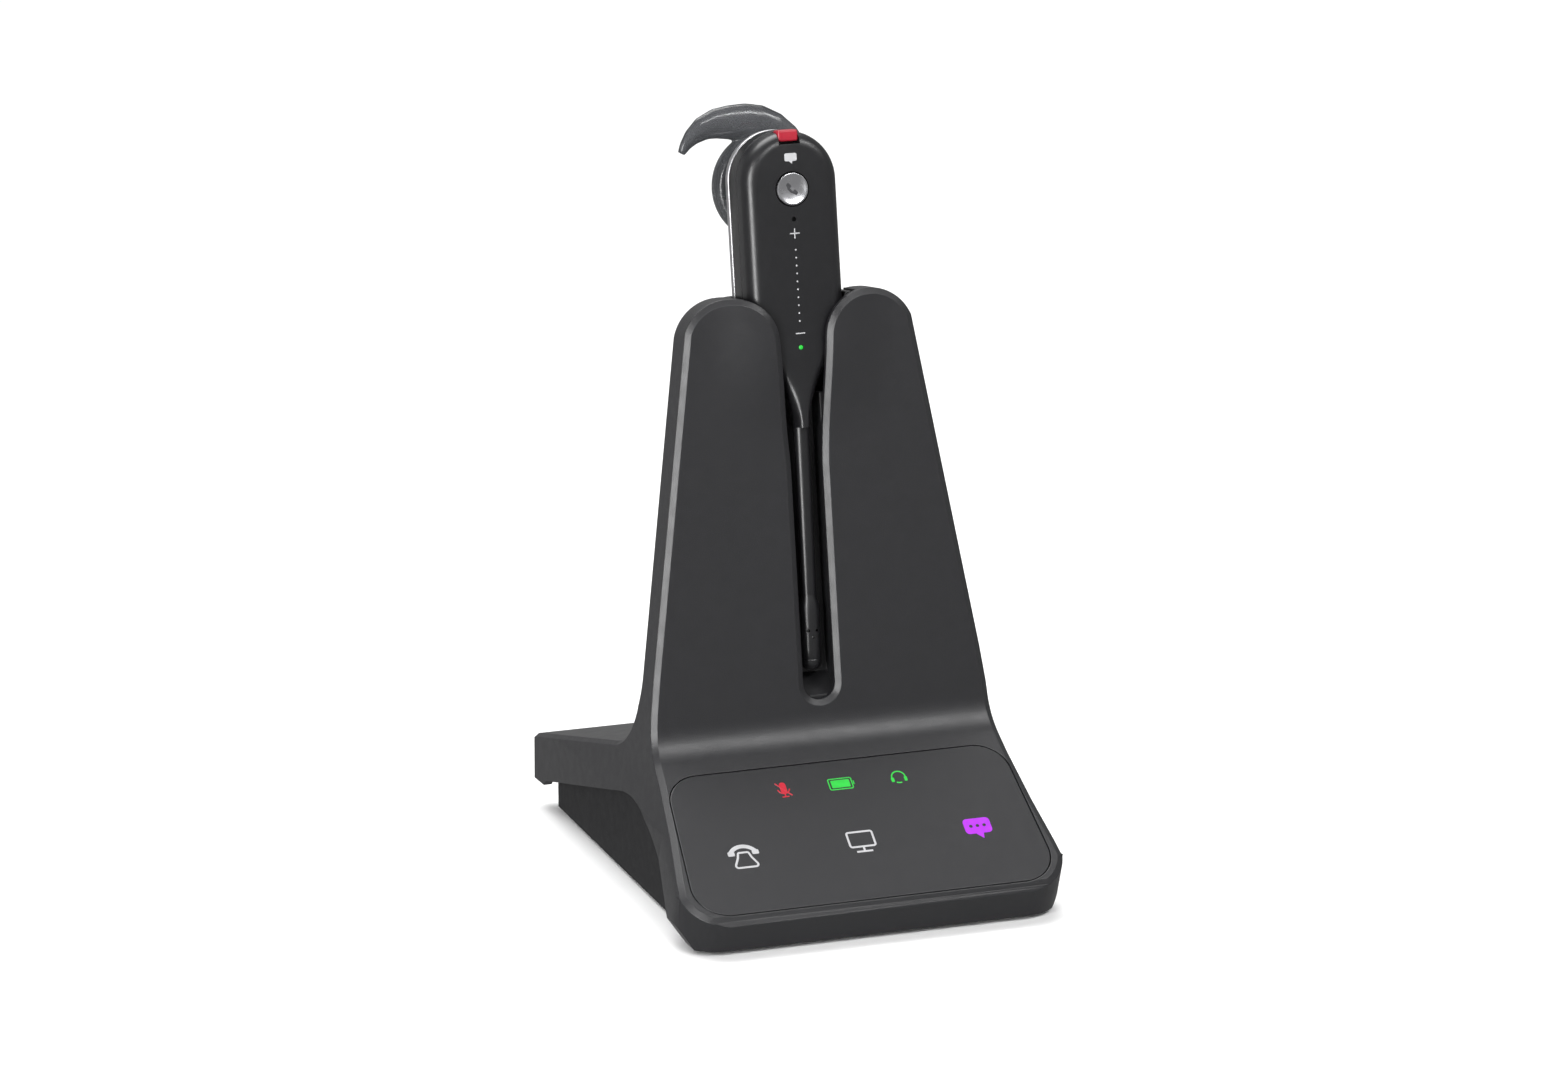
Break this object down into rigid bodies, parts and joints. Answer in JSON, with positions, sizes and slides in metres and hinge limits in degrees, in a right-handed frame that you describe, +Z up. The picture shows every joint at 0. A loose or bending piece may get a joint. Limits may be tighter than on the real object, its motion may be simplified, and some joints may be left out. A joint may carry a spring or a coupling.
{
  "type": "office headset in charging stand",
  "caption": "One-ear wireless office headset with a thin microphone boom, standing in a leaning charging stand with a sloping touch panel and a rear leg.",
  "frame": {"origin": "middle of the footprint, on the surface it stands on", "axes": "+Z up, -Y towards the user and the touch panel, +X to the right seen from the front"},
  "size_m": [0.0914, 0.1222, 0.1756],
  "materials": {
    "stand_shell": "fine moulded grain, charcoal",
    "touch_panel": "smooth satin, dark charcoal",
    "bottom_cover": "fine grain, near black",
    "cradle": "satin, near black",
    "headset_plastic": "satin to gloss, dark",
    "rim_satin": "satin",
    "spun_metal": "spun circular brushing",
    "mute_red": "satin red",
    "status_green": "lit lens",
    "smoked_gel": "smoky translucent silicone",
    "rubber": "matte",
    "light_guide": "milky diffuser",
    "circuit_board": "solder mask",
    "tinned_metal": "tinned",
    "gold_contact": "gold plated",
    "black_epoxy": "moulded epoxy",
    "plated_steel": "zinc plated",
    "screw_steel": "plated screw",
    "battery_foil": "pouch foil"
  },
  "bodies": {
    "stand": {"antenna_board": "circuit_board", "audio_chip": "black_epoxy", "back_cover": "stand_shell", "ballast_plate": "plated_steel", "base_screw_1": "screw_steel", "base_screw_2": "screw_steel", "base_screw_3": "screw_steel", "base_screw_4": "screw_steel", "bottom_cover": "bottom_cover", "charging_board": "circuit_board", "contact_block": "black_epoxy", "front_foot_left": "rubber", "front_foot_right": "rubber", "headset_cradle": "cradle", "icon_light_guide": "light_guide", "main_board": "circuit_board", "radio_module": "tinned_metal", "rear_foot": "rubber", "stand_shell": "stand_shell", "touch_board": "circuit_board", "touch_panel": "touch_panel", "usb_port_computer": "tinned_metal", "usb_port_phone": "tinned_metal"},
    "headset": {"headset_front_housing": "headset_plastic", "headset_rear_housing": "headset_plastic", "headset_rim": "rim_satin", "call_switch": "tinned_metal", "mute_switch": "black_epoxy", "status_light_pipe": "status_green", "volume_sensor": "circuit_board", "headset_board": "circuit_board", "battery": "battery_foil", "mic_ambient": "tinned_metal", "charge_contact_left": "gold_contact", "charge_contact_right": "gold_contact", "speaker_housing": "headset_plastic", "speaker_driver": "rim_satin", "speaker_screen": "tinned_metal", "boom_tube": "headset_plastic", "mic_capsule": "headset_plastic", "mic_element": "tinned_metal"},
    "call_button": {"call_button": "spun_metal"},
    "mute_button": {"mute_button": "mute_red"},
    "ear_gel": {"ear_gel": "smoked_gel"},
    "contact_pin_left": {"contact_pin_left": "gold_contact"},
    "contact_pin_right": {"contact_pin_right": "gold_contact"}
  },
  "joints": [
    {"name": "headset_lift", "type": "slide", "parent": "stand", "child": "headset", "axis": [0, 0.1609, 0.987], "range_m": [0, 0.1]},
    {"name": "call_press", "type": "slide", "parent": "headset", "child": "call_button", "axis": [0, 0.987, -0.1609], "range_m": [0, 0.0004], "stiffness_N_per_m": 800},
    {"name": "mute_press", "type": "slide", "parent": "headset", "child": "mute_button", "axis": [0, -0.1609, -0.987], "range_m": [0, 0.0005], "stiffness_N_per_m": 800},
    {"name": "ear_gel_turn", "type": "hinge", "parent": "headset", "child": "ear_gel", "pos_m": [0, 0.01747, 0.15619], "axis": [0, -0.987, 0.1609], "range_deg": [-150, 20]},
    {"name": "pin_left_press", "type": "slide", "parent": "stand", "child": "contact_pin_left", "axis": [0, -0.1609, -0.987], "range_m": [0, 0.0009], "stiffness_N_per_m": 300},
    {"name": "pin_right_press", "type": "slide", "parent": "stand", "child": "contact_pin_right", "axis": [0, -0.1609, -0.987], "range_m": [0, 0.0009], "stiffness_N_per_m": 300}
  ]
}
